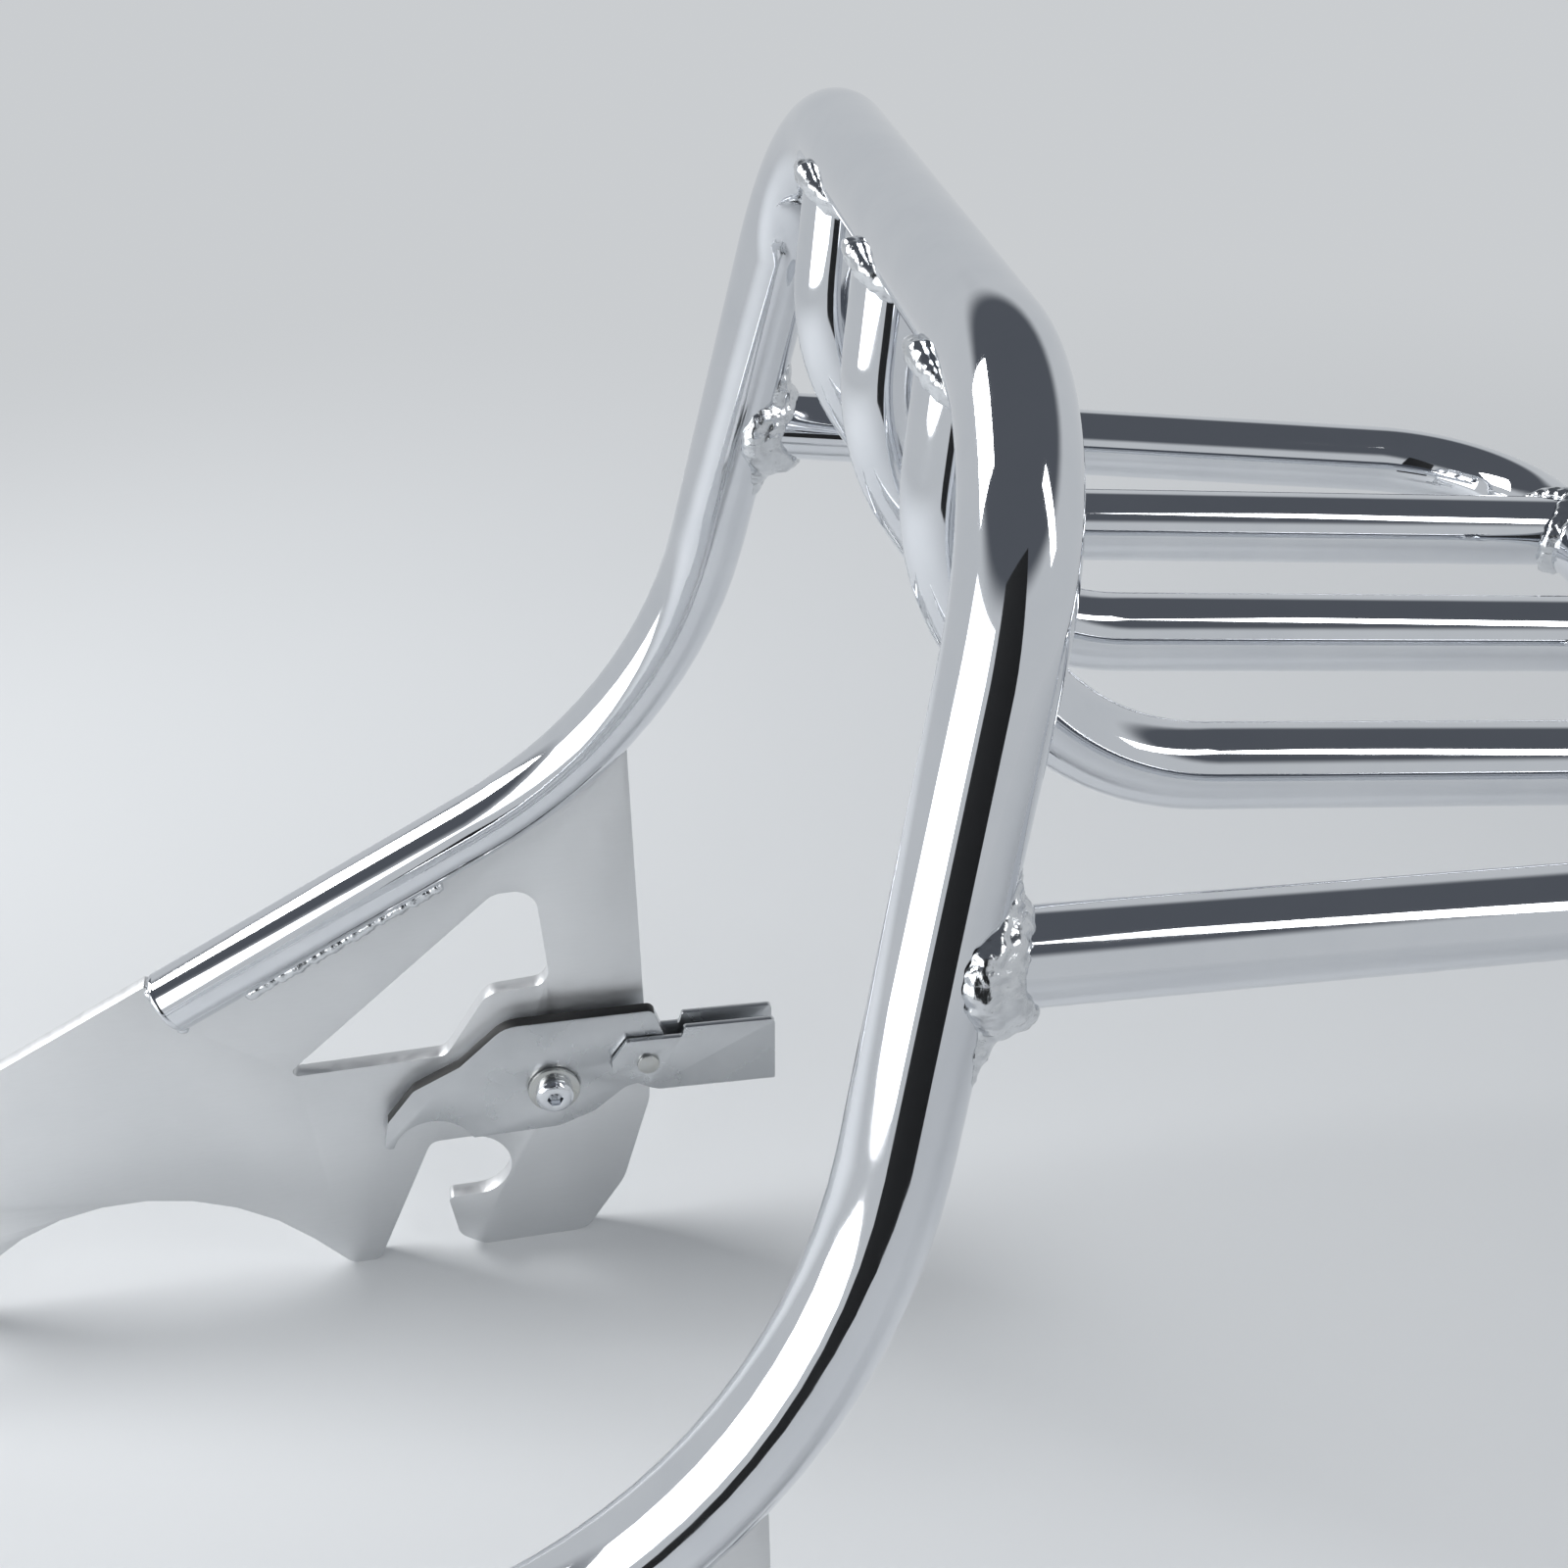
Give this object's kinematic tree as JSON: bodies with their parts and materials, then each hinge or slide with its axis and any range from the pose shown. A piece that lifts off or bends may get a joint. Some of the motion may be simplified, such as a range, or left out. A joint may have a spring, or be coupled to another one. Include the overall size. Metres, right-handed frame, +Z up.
{
  "type": "motorcycle luggage rack",
  "caption": "Tubular luggage rack with an upright hoop, slotted side plates and pivoting latches that hold it on the docking posts of a motorcycle.",
  "frame": {"origin": "on the floor under the feet, in the middle of the rack's length and width", "axes": "+X towards the rear of the motorcycle, +Y to its right, +Z up"},
  "size_m": [0.5771, 0.3294, 0.4197],
  "materials": {
    "chrome_tube": "polished chrome plate",
    "chrome_cap": "chrome plate over a ground weld",
    "chrome_weld": "chrome plate over a lumpy bead",
    "satin_plate": "satin plate with bright cut edges",
    "satin_latch": "satin plate",
    "folded_sheet": "bright satin plate",
    "pin_steel": "turned steel",
    "chrome_bolt": "plated steel",
    "zinc_hardware": "zinc plate"
  },
  "bodies": {
    "rack": {"hoop": "chrome_tube", "hoop_end_caps": "chrome_cap", "outer_rail": "chrome_tube", "inner_rail_left": "chrome_tube", "inner_rail_centre": "chrome_tube", "inner_rail_right": "chrome_tube", "leg_welds": "chrome_weld", "riser_welds": "chrome_weld", "rear_welds": "chrome_weld", "side_plate_left": "satin_plate", "side_plate_right": "satin_plate", "plate_welds_left": "chrome_weld", "plate_welds_right": "chrome_weld", "pivot_bush_left": "zinc_hardware", "pivot_bush_right": "zinc_hardware", "pivot_washer_left": "zinc_hardware", "pivot_washer_right": "zinc_hardware", "pivot_bolt_left": "chrome_bolt", "pivot_bolt_right": "chrome_bolt", "pivot_nut_left": "zinc_hardware", "pivot_nut_right": "zinc_hardware"},
    "latch_left": {"latch_left": "satin_latch"},
    "handle_left": {"handle_left": "folded_sheet", "handle_pin_left": "pin_steel"},
    "latch_right": {"latch_right": "satin_latch"},
    "handle_right": {"handle_right": "folded_sheet", "handle_pin_right": "pin_steel"}
  },
  "joints": [
    {"name": "latch_left_hinge", "type": "hinge", "parent": "rack", "child": "latch_left", "pos_m": [-0.02171, -0.14419, 0.0752], "axis": [0, -1, 0], "range_deg": [0, 22]},
    {"name": "handle_left_hinge", "type": "hinge", "parent": "latch_left", "child": "handle_left", "pos_m": [0.01169, -0.14419, 0.0822], "axis": [0, -1, 0], "range_deg": [0, 70]},
    {"name": "latch_right_hinge", "type": "hinge", "parent": "rack", "child": "latch_right", "pos_m": [-0.02171, 0.14419, 0.0752], "axis": [0, -1, 0], "range_deg": [0, 22]},
    {"name": "handle_right_hinge", "type": "hinge", "parent": "latch_right", "child": "handle_right", "pos_m": [0.01169, 0.14419, 0.0822], "axis": [0, -1, 0], "range_deg": [0, 70]}
  ]
}
